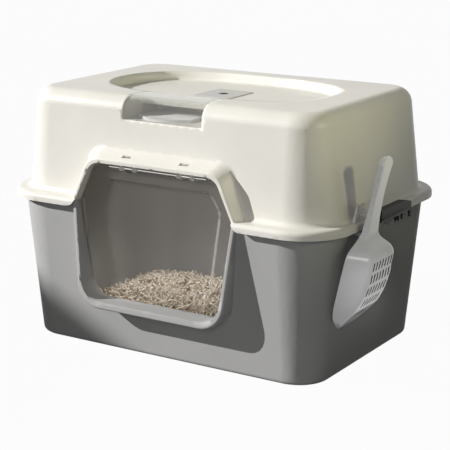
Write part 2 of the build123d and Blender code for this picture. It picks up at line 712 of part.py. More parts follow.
# ---------------------------------------------------------------- latches
def latch_right():
    """A plate outside the hood's band, a hook over its shelf, a lip and two eyes under it."""
    inner_x = FLANGE_HALF_X + LATCH_GAP
    outer_x = inner_x + LATCH_THICK
    hook_z = SHELF_Z + LATCH_LIFT_GAP
    tail_y = LATCH_BACK_Y - LATCH_TAIL_WIDTH
    side = [
        (LATCH_FRONT_Y, LATCH_LOW_Z), (tail_y, LATCH_LOW_Z), (tail_y, LATCH_TAIL_Z),
        (LATCH_BACK_Y, LATCH_TAIL_Z), (LATCH_BACK_Y, LATCH_TOP_Z - LATCH_SHOULDER_DROP),
        (LATCH_SHOULDER_Y, LATCH_TOP_Z), (LATCH_FRONT_Y, LATCH_TOP_Z),
    ]
    plate = x_prism([(y, z) for y, z in side], inner_x, outer_x)
    plan = [
        (outer_x, LATCH_FRONT_Y), (outer_x, LATCH_SHOULDER_Y), (inner_x, LATCH_SHOULDER_Y),
        (inner_x - LATCH_REACH, LATCH_REACH_BACK_Y), (inner_x - LATCH_REACH, LATCH_FRONT_Y),
    ]
    hook = extrude(make_face(Polyline(*[(x, y, hook_z) for x, y in plan], close=True)), LATCH_TOP_Z - hook_z)
    lip = block(
        (inner_x, outer_x + LATCH_LIP_OUT), (LATCH_FRONT_Y, LATCH_LIP_BACK_Y),
        (LATCH_LIP_Z - LATCH_LIP_THICK, LATCH_LIP_Z))
    latch = plate + hook + lip
    for centre in ARM_Y:
        y = (centre - ARM_WIDTH / 2, centre + ARM_WIDTH / 2)
        web = block((PIN_X, outer_x), y, (PIN_Z, LATCH_LOW_Z - 0.6))
        riser = block((inner_x, outer_x), y, (PIN_Z, LATCH_LOW_Z + 3))
        latch += y_cylinder(EYE_R, *y, PIN_X, PIN_Z) + web + riser
    return latch - y_cylinder(PIN_R + PIN_FIT, CHEEK_Y[0], CHEEK_Y[1], PIN_X, PIN_Z)


def latch_pin_right():
    return y_cylinder(PIN_R, *pin_span(), PIN_X, PIN_Z)


# ---------------------------------------------------------------- scoop
def scoop_place():
    """Where the scoop hangs: its local X is outwards, Y across and Z along its length."""
    lean, turn = math.radians(SCOOP_LEAN), math.radians(SCOOP_TURN)
    along = Vector(math.sin(lean), -math.sin(turn), math.cos(lean) * math.cos(turn)).normalized()
    across = Vector(math.sin(turn), 1, math.sin(turn)).normalized()
    outwards = across.cross(along).normalized()
    origin = (TRAY.half_x(SCOOP_FOOT_Z) + SCOOP_GAP, SCOOP_Y, SCOOP_FOOT_Z)
    return Plane(origin=origin, x_dir=outwards, z_dir=along).location


def scoop_section(along, rim, floor, depth, corner, inset=0.0):
    """One section of the scoop's trough: a trapezium with rounded floor corners."""
    low = 0.0 if inset == 0 else -1.0
    rim, floor, depth = rim - inset, floor - inset, depth - inset
    corner = max(corner - inset, 0.4)
    points = [(low, -rim), (depth, -floor), (depth, floor), (low, rim)]
    face = make_face(Polyline(*[(w, v, along) for w, v in points], close=True))
    for w, v in points[1:3]:
        face = fillet(face.vertices().sort_by_distance((w, v, along))[0], corner)
    return face


def trough(sections, inset=0.0):
    return loft([scoop_section(*section, inset=inset) for section in sections])


def trough_depth(along):
    """Depth of the blade at a distance along it, straight between its sections."""
    for a, b in zip(BLADE_SECTIONS, BLADE_SECTIONS[1:]):
        if a[0] <= along <= b[0]:
            return a[3] + (b[3] - a[3]) * (along - a[0]) / (b[0] - a[0])
    return BLADE_SECTIONS[-1][3]


def handle(inset=0.0):
    """The channel of the handle with its rounded end."""
    top = HANDLE_SECTIONS[-1]
    end_z = top[0] + HANDLE_END_ROUND
    body = trough(HANDLE_SECTIONS, inset)
    end = top[1:4]
    cap = loft([
        scoop_section(*top, inset=inset),
        scoop_section(end_z - 3, end[0] - 3.2, end[1] - 3.2, end[2] - 0.6, top[4], inset=inset),
        scoop_section(end_z - inset, end[0] - 7.5, end[1] - 7.5, end[2] - 2.2, top[4] - 1, inset=inset),
    ])
    return body + cap


def scoop():
    solid = trough(BLADE_SECTIONS) + handle()
    hollow_blade = [list(section) for section in BLADE_SECTIONS[1:]]
    solid -= trough(hollow_blade, SCOOP_WALL)
    solid -= handle(SCOOP_WALL)
    across = (-BLADE_SECTIONS[-3][1], BLADE_SECTIONS[-3][1])
    solid += block((0, WEB_DEPTH), across, (WEB_ALONG, WEB_ALONG + WEB_THICK)) & trough(BLADE_SECTIONS)
    for along, count in SLIT_ROWS:
        depth = trough_depth(along)
        for i in range(count):
            v = (i - (count - 1) / 2) * SLIT_PITCH
            solid -= block(
                (depth - 7, depth + 5), (v - SLIT_WIDTH / 2, v + SLIT_WIDTH / 2),
                (along - SLIT_LENGTH / 2, along + SLIT_LENGTH / 2))
    return scoop_place() * solid


def rim_to(x, along):
    """Distance back from the scoop's rim plane to a plane of constant X, square to the rim."""
    rim_x = (scoop_place() * Pos(0, 0, along)).position.X
    return (rim_x - x) / math.cos(math.radians(SCOOP_LEAN))


def scoop_peg():
    """The peg on the tray's side, with an upturned tip, that the scoop's web hangs on."""
    seat = WEB_ALONG - PEG_FIT
    y = (-PEG_HALF_WIDTH, PEG_HALF_WIDTH)
    seat_z = SCOOP_FOOT_Z + WEB_ALONG * math.cos(math.radians(SCOOP_LEAN))
    root = rim_to(TRAY.half_x(seat_z) - TRAY_WALL / 2, WEB_ALONG)
    peg = block((-root, PEG_REACH), y, (seat - PEG_THICK, seat))
    peg += block((PEG_REACH - PEG_TIP, PEG_REACH), y, (seat - 1, seat + PEG_TIP_RISE))
    return scoop_place() * peg


def scoop_hook():
    """A plate that stands on the hood's shelf, with a finger that steadies the scoop's handle."""
    top_z = SHELF_Z + REST_HEIGHT
    outline = [
        (REST_LOW_Y[0], SHELF_Z), (REST_LOW_Y[1], SHELF_Z), (REST_TOP_Y[1], top_z), (REST_TOP_Y[0], top_z),
    ]
    plate = x_prism(outline, REST_X - REST_THICK, REST_X)
    drain_z = SHELF_Z + 2 * REST_DRAIN_R
    plate -= x_cylinder(REST_DRAIN_R, REST_X - 2 * REST_THICK, REST_X + 1, REST_DRAIN_Y, drain_z)
    root = rim_to(REST_X - REST_THICK / 2, REST_ALONG)
    y = (-REST_FINGER_HALF_WIDTH, REST_FINGER_HALF_WIDTH)
    finger = block((-root, -REST_GAP), y, (REST_ALONG - REST_FINGER_THICK, REST_ALONG))
    return plate + scoop_place() * finger - hood_skin()


def hood_skin():
    """The hood's plain outside: walls, flange and the fillet between them."""
    outer = hood_outer() + flange()
    return fillet([e for e in outer.edges() if is_shelf_junction(e)], SHELF_FILLET)


# ---------------------------------------------------------------- build
def main():
    save(base_tray(), "base_tray")
    save(litter_bed(), "litter_bed")
    save(hood(), "hood")
    save(window_cover(), "window_cover")
    save(deodorant_pad(), "deodorant_pad")
    save(vent_cover(), "vent_cover")
    save(carbon_filter(), "carbon_filter")
    save(door_flap(), "door_flap")
    save(door_rod(), "door_rod")
    save(hinge_clip(-1), "hinge_clip_left")
    save(hinge_clip(1), "hinge_clip_right")
    latch = latch_right()
    save(latch, "latch_right")
    save(mirror_x(latch), "latch_left")
    pin = latch_pin_right()
    save(pin, "latch_pin_right")
    save(mirror_x(pin), "latch_pin_left")
    save(scoop(), "scoop")
    save(scoop_hook(), "scoop_hook")


if __name__ == "__main__":
    main()
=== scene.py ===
"""Dresses a hooded cat litter box: moulded shells, a smoky flap, clear lid, pellets and scoop."""
import json
import logging
import math
import random
from dataclasses import dataclass
from enum import Enum
from typing import Callable, Sequence

import bpy
import numpy as np
from mathutils import Matrix, Vector

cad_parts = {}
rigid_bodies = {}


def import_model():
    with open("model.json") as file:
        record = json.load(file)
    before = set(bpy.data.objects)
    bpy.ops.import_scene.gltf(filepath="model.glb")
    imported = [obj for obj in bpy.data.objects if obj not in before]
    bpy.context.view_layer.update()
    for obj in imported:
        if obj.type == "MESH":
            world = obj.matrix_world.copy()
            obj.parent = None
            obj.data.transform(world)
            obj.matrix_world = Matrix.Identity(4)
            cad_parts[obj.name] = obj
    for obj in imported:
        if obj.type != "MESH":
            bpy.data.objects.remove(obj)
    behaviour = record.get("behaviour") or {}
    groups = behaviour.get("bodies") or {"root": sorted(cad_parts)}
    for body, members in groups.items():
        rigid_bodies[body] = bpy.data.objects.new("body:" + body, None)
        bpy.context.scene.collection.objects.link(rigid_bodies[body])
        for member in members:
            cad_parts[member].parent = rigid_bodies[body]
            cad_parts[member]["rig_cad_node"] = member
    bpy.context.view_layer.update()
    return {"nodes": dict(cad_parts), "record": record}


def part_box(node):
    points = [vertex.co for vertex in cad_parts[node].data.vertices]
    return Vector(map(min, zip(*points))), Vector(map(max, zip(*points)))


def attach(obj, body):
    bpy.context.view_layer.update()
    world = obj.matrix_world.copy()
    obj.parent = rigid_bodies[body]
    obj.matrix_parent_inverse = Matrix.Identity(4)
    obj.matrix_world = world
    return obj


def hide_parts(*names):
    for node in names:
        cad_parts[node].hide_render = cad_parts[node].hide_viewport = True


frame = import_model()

LOG = logging.getLogger("litter_box")

Rgb = tuple[float, float, float]
Point = tuple[float, float, float]

MM = 0.001
MERGE_DISTANCE = 0.01 * MM
NORMAL_WEIGHT = 90
MOST_HALVINGS = 8
WHITE: Rgb = (1.0, 1.0, 1.0)

# The Mix node's number and colour sockets share their names, so the colour ones go by their place.
MIX_FACTOR = 0
MIX_BASE = 6
MIX_LAYER = 7
MIX_COLOUR = 2


class Slot(Enum):
    """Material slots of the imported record."""

    TRAY = "tray_plastic"
    HOOD = "hood_plastic"
    FLAP = "smoky_flap"
    LID = "clear_lid"
    ROD = "rod_steel"
    CLIP = "clip_plastic"
    LATCH = "latch_plastic"
    VENT = "vent_plastic"
    FOAM = "filter_foam"
    PAD = "pad"
    SCOOP = "scoop_plastic"
    LITTER = "litter"


# ---------------------------------------------------------------- finishes
@dataclass(frozen=True)
class Pattern:
    """A noise: features per metre, octaves, and how strong the finer octaves are."""

    scale: float
    detail: float
    roughness: float


class NodeSheet:
    """A small helper that lays shader nodes on one material."""

    def __init__(self, name: str) -> None:
        """Starts a material with only a Principled shader and its output.

        Args:
            name: The material's name.
        """
        self.material = bpy.data.materials.new(name)
        self.material.use_nodes = True
        self.tree = self.material.node_tree
        self.tree.nodes.clear()
        self.output = self.tree.nodes.new("ShaderNodeOutputMaterial")
        self.shader = self.tree.nodes.new("ShaderNodeBsdfPrincipled")
        self.link(self.shader.outputs["BSDF"], self.output.inputs["Surface"])
        self.coords = self.tree.nodes.new("ShaderNodeTexCoord")

    def link(self, start: bpy.types.NodeSocket, end: bpy.types.NodeSocket) -> None:
        """Joins two sockets."""
        self.tree.links.new(start, end)

    def noise(self, pattern: Pattern) -> bpy.types.NodeSocket:
        """Adds a noise on Object coordinates.

        Args:
            pattern: The noise's scale and octaves.

        Returns:
            The noise's factor socket.
        """
        node = self.tree.nodes.new("ShaderNodeTexNoise")
        node.inputs["Scale"].default_value = pattern.scale
        node.inputs["Detail"].default_value = pattern.detail
        node.inputs["Roughness"].default_value = pattern.roughness
        self.link(self.coords.outputs["Object"], node.inputs["Vector"])
        return node.outputs["Fac"]

    def ramp(self, source: bpy.types.NodeSocket, stops: Sequence[tuple[float, Rgb]]) -> bpy.types.NodeSocket:
        """Adds a colour ramp.

        Args:
            source: What drives the ramp.
            stops: Positions and colours, low to high.

        Returns:
            The ramp's colour socket.
        """
        node = self.tree.nodes.new("ShaderNodeValToRGB")
        elements = node.color_ramp.elements
        while len(elements) < len(stops):
            elements.new(0.5)
        for element, (place, colour) in zip(elements, stops):
            element.position = place
            element.color = (*colour, 1.0)
        self.link(source, node.inputs["Fac"])
        return node.outputs["Color"]

    def spread(self, source: bpy.types.NodeSocket, low: float, high: float) -> bpy.types.NodeSocket:
        """Maps a 0 to 1 value onto a range.

        Args:
            source: The value.
            low: Result at 0.
            high: Result at 1.

        Returns:
            The mapped value's socket.
        """
        node = self.tree.nodes.new("ShaderNodeMapRange")
        node.inputs["To Min"].default_value = low
        node.inputs["To Max"].default_value = high
        self.link(source, node.inputs["Value"])
        return node.outputs["Result"]

    def bump(self, height: bpy.types.NodeSocket, strength: float, distance: float) -> None:
        """Adds a bump to the shader's normal.

        Args:
            height: The height pattern.
            strength: Share of the bump that shows.
            distance: Height of the pattern in metres.
        """
        node = self.tree.nodes.new("ShaderNodeBump")
        node.inputs["Strength"].default_value = strength
        node.inputs["Distance"].default_value = distance
        self.link(height, node.inputs["Height"])
        self.link(node.outputs["Normal"], self.shader.inputs["Normal"])

    def set(self, **values: float | tuple) -> None:
        """Sets sockets of the shader by name, with underscores for spaces."""
        for name, value in values.items():
            self.shader.inputs[name.replace("_", " ")].default_value = value


def shade(colour: Rgb, factor: float) -> Rgb:
    """Makes a colour lighter or darker."""
    return tuple(min(c * factor, 1.0) for c in colour)


@dataclass(frozen=True)
class MouldedPlastic:
    """Injection-moulded plastic with a fine spark-eroded grain and faint handling marks, and, where a reach
    is given, painted shade inside narrow slits.
    """

    name: str
    colour: Rgb
    roughness: float = 0.4
    specular: float = 0.5
    coat: float = 0.0
    coat_roughness: float = 0.1
    tone: Pattern = Pattern(9.0, 4.0, 0.55)
    tone_from: float = 0.3
    tone_to: float = 0.7
    variation: float = 0.05
    marks: Pattern = Pattern(60.0, 6.0, 0.6)
    polish: float = 0.05
    wear: float = 0.06
    grain: Pattern = Pattern(1600.0, 2.0, 0.6)
    grain_depth: float = 0.00004
    grain_strength: float = 0.25
    # painted shade: narrow slits darken by ambient occlusion within this reach, down to the shade colour
    # below
    slit_shade_reach: float = 0.0
    slit_shade_samples: int = 16
    slit_shade_from: float = 0.82
    slit_shade_to: float = 0.97
    painted_slit_shade_colour: Rgb = (0.06, 0.06, 0.06)

    def build(self) -> bpy.types.Material:
        """Makes the material."""
        sheet = NodeSheet(self.name)
        sheet.set(
            Specular_IOR_Level=self.specular, Coat_Weight=self.coat, Coat_Roughness=self.coat_roughness,
        )
        low, high = shade(self.colour, 1 - self.variation), shade(self.colour, 1 + self.variation / 2)
        colour = sheet.ramp(sheet.noise(self.tone), ((self.tone_from, low), (self.tone_to, high)))
        # painted shade in narrow slits, from ambient occlusion
        if self.slit_shade_reach:
            colour = self.paint_slit_shade(sheet, colour)
        sheet.link(colour, sheet.shader.inputs["Base Color"])
        marks = sheet.noise(self.marks)
        rough = sheet.spread(marks, self.roughness - self.polish, self.roughness + self.wear)
        sheet.link(rough, sheet.shader.inputs["Roughness"])
        sheet.bump(sheet.noise(self.grain), self.grain_strength, self.grain_depth)
        return sheet.material

    def paint_slit_shade(self, sheet: NodeSheet, colour: bpy.types.NodeSocket) -> bpy.types.NodeSocket:
        """Paints shade into the colour inside narrow slits, found by ambient occlusion, so that they read as
        open ones.

        Args:
            sheet: The material's nodes.
            colour: The plain colour.

        Returns:
            The colour with painted shade in the slits.
        """
        near = sheet.tree.nodes.new("ShaderNodeAmbientOcclusion")
        near.samples = self.slit_shade_samples
        near.only_local = True
        near.inputs["Distance"].default_value = self.slit_shade_reach
        mix = sheet.tree.nodes.new("ShaderNodeMix")
        mix.data_type = "RGBA"
        mix.blend_type = "MULTIPLY"
        mix.inputs[MIX_FACTOR].default_value = 1.0
        sheet.link(colour, mix.inputs[MIX_BASE])
        stops = ((self.slit_shade_from, self.painted_slit_shade_colour), (self.slit_shade_to, WHITE))
        sheet.link(sheet.ramp(near.outputs["AO"], stops), mix.inputs[MIX_LAYER])
        return mix.outputs[MIX_COLOUR]


@dataclass(frozen=True)
class ClearPlastic:
    """Thin see-through plastic, tinted and a little hazy, with fine scuffs."""

    name: str
    colour: Rgb
    roughness: float
    alpha: float
    edge: float = 0.9
    ior: float = 1.5
    scuffs: Pattern = Pattern(240.0, 6.0, 0.65)
    haze: float = 0.04
    ripple: Pattern = Pattern(18.0, 2.0, 0.4)
    ripple_strength: float = 0.1
    ripple_depth: float = 0.0004
    facing_blend: float = 0.5
    edge_from: float = 0.3
    edge_to: float = 0.95

    def build(self) -> bpy.types.Material:
        """Makes the material."""
        sheet = NodeSheet(self.name)
        sheet.set(Base_Color=(*self.colour, 1.0), Alpha=self.alpha, IOR=self.ior)
        sheet.link(self.rim(sheet), sheet.shader.inputs["Alpha"])
        rough = sheet.spread(sheet.noise(self.scuffs), self.roughness, self.roughness + self.haze)
        sheet.link(rough, sheet.shader.inputs["Roughness"])
        sheet.bump(sheet.noise(self.ripple), self.ripple_strength, self.ripple_depth)
        return sheet.material

    def rim(self, sheet: NodeSheet) -> bpy.types.NodeSocket:
        """Sets how solid the plastic looks: clear face on, and milky where it turns away.

        Args:
            sheet: The material's nodes.

        Returns:
            The socket that gives the opacity.
        """
        facing = sheet.tree.nodes.new("ShaderNodeLayerWeight")
        facing.inputs["Blend"].default_value = self.facing_blend
        solid = sheet.tree.nodes.new("ShaderNodeMapRange")
        solid.interpolation_type = "SMOOTHSTEP"
        limits = {
            "From Min": self.edge_from, "From Max": self.edge_to, "To Min": self.alpha, "To Max": self.edge,
        }
        for name, value in limits.items():
            solid.inputs[name].default_value = value
        sheet.link(facing.outputs["Facing"], solid.inputs["Value"])
        return solid.outputs["Result"]


@dataclass(frozen=True)
class PressedPellet:
    """Pressed plant fibre: each pellet has its own tone and a grainy skin."""

    name: str
    dark: Rgb
    mid: Rgb
    pale: Rgb
    roughness: float = 0.85
    specular: float = 0.2
    tone: Pattern = Pattern(260.0, 1.0, 0.5)
    tone_stops: tuple[float, float, float] = (0.34, 0.5, 0.66)
    grain: Pattern = Pattern(2200.0, 3.0, 0.6)
    grain_strength: float = 0.6
    grain_depth: float = 0.0002

    def build(self) -> bpy.types.Material:
        """Makes the material."""
        sheet = NodeSheet(self.name)
        sheet.set(Roughness=self.roughness, Specular_IOR_Level=self.specular)
        stops = tuple(zip(self.tone_stops, (self.dark, self.mid, self.pale)))
        sheet.link(sheet.ramp(sheet.noise(self.tone), stops), sheet.shader.inputs["Base Color"])
        sheet.bump(sheet.noise(self.grain), self.grain_strength, self.grain_depth)
        return sheet.material


@dataclass(frozen=True)
class OpenFoam:
    """Open-cell foam or felt with small dark pores."""

    name: str
    colour: Rgb
    pore: Rgb
    pores_per_metre: float = 900.0
    pore_edge: float = 0.1
    pore_end: float = 0.45
    pore_strength: float = 0.7
    pore_depth: float = 0.0005
    roughness: float = 0.95
    sheen: float = 0.2
    specular: float = 0.15

    def build(self) -> bpy.types.Material:
        """Makes the material."""
        sheet = NodeSheet(self.name)
        sheet.set(Roughness=self.roughness, Specular_IOR_Level=self.specular, Sheen_Weight=self.sheen)
        cells = sheet.tree.nodes.new("ShaderNodeTexVoronoi")
        cells.inputs["Scale"].default_value = self.pores_per_metre
        sheet.link(sheet.coords.outputs["Object"], cells.inputs["Vector"])
        stops = ((self.pore_edge, self.pore), (self.pore_end, self.colour))
        sheet.link(sheet.ramp(cells.outputs["Distance"], stops), sheet.shader.inputs["Base Color"])
        sheet.bump(cells.outputs["Distance"], self.pore_strength, self.pore_depth)
        return sheet.material


@dataclass(frozen=True)
class DrawnRod:
    """Bright drawn steel with fine lines along it."""

    name: str
    colour: Rgb = (0.96, 0.96, 0.95)
    lines_per_metre: Point = (20.0, 2500.0, 2500.0)
    smoothest: float = 0.07
    roughest: float = 0.14

    def build(self) -> bpy.types.Material:
        """Makes the material."""
        sheet = NodeSheet(self.name)
        sheet.set(Base_Color=(*self.colour, 1.0), Metallic=1.0)
        stretch = sheet.tree.nodes.new("ShaderNodeMapping")
        stretch.inputs["Scale"].default_value = self.lines_per_metre
        sheet.link(sheet.coords.outputs["Object"], stretch.inputs["Vector"])
        lines = sheet.tree.nodes.new("ShaderNodeTexNoise")
        lines.inputs["Scale"].default_value = 1.0
        sheet.link(stretch.outputs["Vector"], lines.inputs["Vector"])
        rough = sheet.spread(lines.outputs["Fac"], self.smoothest, self.roughest)
        sheet.link(rough, sheet.shader.inputs["Roughness"])
        return sheet.material


FINISHES = {
    Slot.HOOD: MouldedPlastic("cream_plastic", (0.775, 0.757, 0.708), 0.38, specular=0.3),
    Slot.TRAY: MouldedPlastic("grey_plastic", (0.44, 0.44, 0.438), 0.5, specular=0.03),
    # the scoop's slits get painted shade, found by ambient occlusion
    Slot.SCOOP: MouldedPlastic("scoop_grey_plastic", (0.89, 0.89, 0.905), 0.32, coat=0.7, slit_shade_reach=8.0 * MM),
    Slot.VENT: MouldedPlastic("vent_grey_plastic", (0.55, 0.55, 0.53), 0.45),
    Slot.LATCH: MouldedPlastic("latch_grey_plastic", (0.045, 0.045, 0.04), 0.45, specular=0.1),
    Slot.CLIP: MouldedPlastic("clip_pale_plastic", (0.90, 0.89, 0.86), 0.2),
    Slot.FLAP: ClearPlastic("smoky_plastic", (0.42, 0.405, 0.38), 0.3, alpha=0.08, edge=0.62),
    Slot.LID: ClearPlastic("clear_plastic", (0.72, 0.73, 0.68), 0.06, alpha=0.06),
    Slot.LITTER: PressedPellet("pellet_fibre", (0.50, 0.42, 0.34), (0.75, 0.67, 0.57), (0.90, 0.84, 0.75)),
    Slot.FOAM: OpenFoam("black_foam", (0.02, 0.02, 0.02), (0.004, 0.004, 0.004), sheen=0.0, specular=0.0),
    Slot.PAD: OpenFoam("white_felt", (0.86, 0.86, 0.85), (0.62, 0.62, 0.62), 1500.0),
    Slot.ROD: DrawnRod("drawn_steel"),
}


class Finisher:
    """Builds each finish once and puts it on pieces."""

    def __init__(self) -> None:
        """Starts with no material built."""
        self.built: dict[Slot, bpy.types.Material] = {}

    def material(self, slot: Slot) -> bpy.types.Material:
        """Gives the material of a slot, built at its first use.

        Args:
            slot: Which finish is wanted.

        Returns:
            The slot's material.
        """
        if slot not in self.built:
            self.built[slot] = FINISHES[slot].build()
        return self.built[slot]

    def dress(self, piece: bpy.types.Object, slot: Slot) -> None:
        """Gives a piece one material.

        Args:
            piece: The mesh object.
            slot: Which finish it takes.
        """
        piece.data.materials.clear()
        piece.data.materials.append(self.material(slot))


# ---------------------------------------------------------------- modelling helpers
def deselect_all() -> None:
    """Leaves nothing selected and the scene in object mode."""
    if bpy.context.object and bpy.context.object.mode != "OBJECT":
        bpy.ops.object.mode_set(mode="OBJECT")
    bpy.ops.object.select_all(action="DESELECT")


def activate(piece: bpy.types.Object) -> None:
    """Makes a piece the only one selected."""
    deselect_all()
    piece.select_set(True)
    bpy.context.view_layer.objects.active = piece


def apply_modifier(piece: bpy.types.Object, kind: str, **settings: object) -> None:
    """Adds a modifier, sets it and applies it.

    Args:
        piece: The mesh object.
        kind: Blender's modifier type.
        **settings: Attributes of the modifier.
    """
    activate(piece)
    modifier = piece.modifiers.new(kind.lower(), kind)
    for name, value in settings.items():
        setattr(modifier, name, value)
    bpy.ops.object.modifier_apply(modifier=modifier.name)


def smooth(piece: bpy.types.Object, degrees: float = 30.0) -> None:
    """Shades a piece smooth except over sharp edges, with flat faces kept flat.

    Args:
        piece: The mesh object.
        degrees: Edges that turn by more than this stay sharp.
    """
    activate(piece)
    bpy.ops.object.shade_smooth_by_angle(angle=math.radians(degrees), keep_sharp_edges=True)
    apply_modifier(piece, "WEIGHTED_NORMAL", keep_sharp=True, weight=NORMAL_WEIGHT)


def merged_copy(node: str, name: str) -> bpy.types.Object:
    """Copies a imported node's mesh and joins its loose triangles.

    Args:
        node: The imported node.
        name: The new piece's name.

    Returns:
        The new piece, in the node's own place.
    """
    source = frame["nodes"][node]
    piece = bpy.data.objects.new(name, source.data.copy())
    bpy.context.scene.collection.objects.link(piece)
    activate(piece)
    bpy.ops.object.mode_set(mode="EDIT")
    bpy.ops.mesh.select_all(action="SELECT")
    bpy.ops.mesh.remove_doubles(threshold=MERGE_DISTANCE)
    bpy.ops.object.mode_set(mode="OBJECT")
    return piece


def divide_long_edges(piece: bpy.types.Object, longest: float) -> None:
    """Halves edges until none is longer than a length, so that shading stays true on large flats.

    Args:
        piece: The mesh object.
        longest: The greatest edge length in metres.
    """
    activate(piece)
    for _ in range(MOST_HALVINGS):
        bpy.ops.object.mode_set(mode="OBJECT")
        mesh = piece.data
        places = np.empty(len(mesh.vertices) * 3, np.float32)
        mesh.vertices.foreach_get("co", places)
        ends = np.empty(len(mesh.edges) * 2, np.int32)
        mesh.edges.foreach_get("vertices", ends)
        start, end = places.reshape(-1, 3)[ends.reshape(-1, 2)].swapaxes(0, 1)
        long = np.linalg.norm(start - end, axis=1) > longest
        if not long.any():
            return
        bpy.ops.object.mode_set(mode="EDIT")
        bpy.ops.mesh.select_mode(type="EDGE")
        bpy.ops.mesh.select_all(action="DESELECT")
        bpy.ops.object.mode_set(mode="OBJECT")
        mesh.edges.foreach_set("select", long)
        bpy.ops.object.mode_set(mode="EDIT")
        bpy.ops.mesh.subdivide(number_cuts=1)
        bpy.ops.mesh.select_all(action="SELECT")
        bpy.ops.mesh.quads_convert_to_tris(quad_method="BEAUTY", ngon_method="BEAUTY")
    bpy.ops.object.mode_set(mode="OBJECT")


@dataclass
class Shell:
    """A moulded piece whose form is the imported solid, joined and shaded as one skin."""

    node: str
    body: str
    slot: Slot
    crease: float = 30.0
    longest: float | None = None

    def build(self, finisher: Finisher) -> bpy.types.Object:
        """Makes the skin and hides the plain solid behind it.

        Args:
            finisher: Gives the material.

        Returns:
            The skin.
        """
        piece = merged_copy(self.node, f"{self.node}_skin")
        if self.longest:
            divide_long_edges(piece, self.longest)
        smooth(piece, self.crease)
        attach(piece, self.body)
        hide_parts(self.node)
        finisher.dress(piece, self.slot)
        return piece


LONGEST_EDGE = {
    "base_tray": 12 * MM, "hood": 9 * MM, "window_cover": 9 * MM, "door_flap": 9 * MM, "scoop": 5 * MM,
}


def shells_of_record(record: dict) -> list[Shell]:
    """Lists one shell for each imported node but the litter.

    Args:
        record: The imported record, which names each node's body and finish.

    Returns:
        The shells, in the record's order of bodies.
    """
    slots = {part["node"]: Slot(part["material_slot"]) for part in record["subparts"]}
    return [
        Shell(node, body, slots[node], longest=LONGEST_EDGE.get(node))
        for body, members in record["behaviour"]["bodies"].items()
        for node in members if slots[node] is not Slot.LITTER
    ]


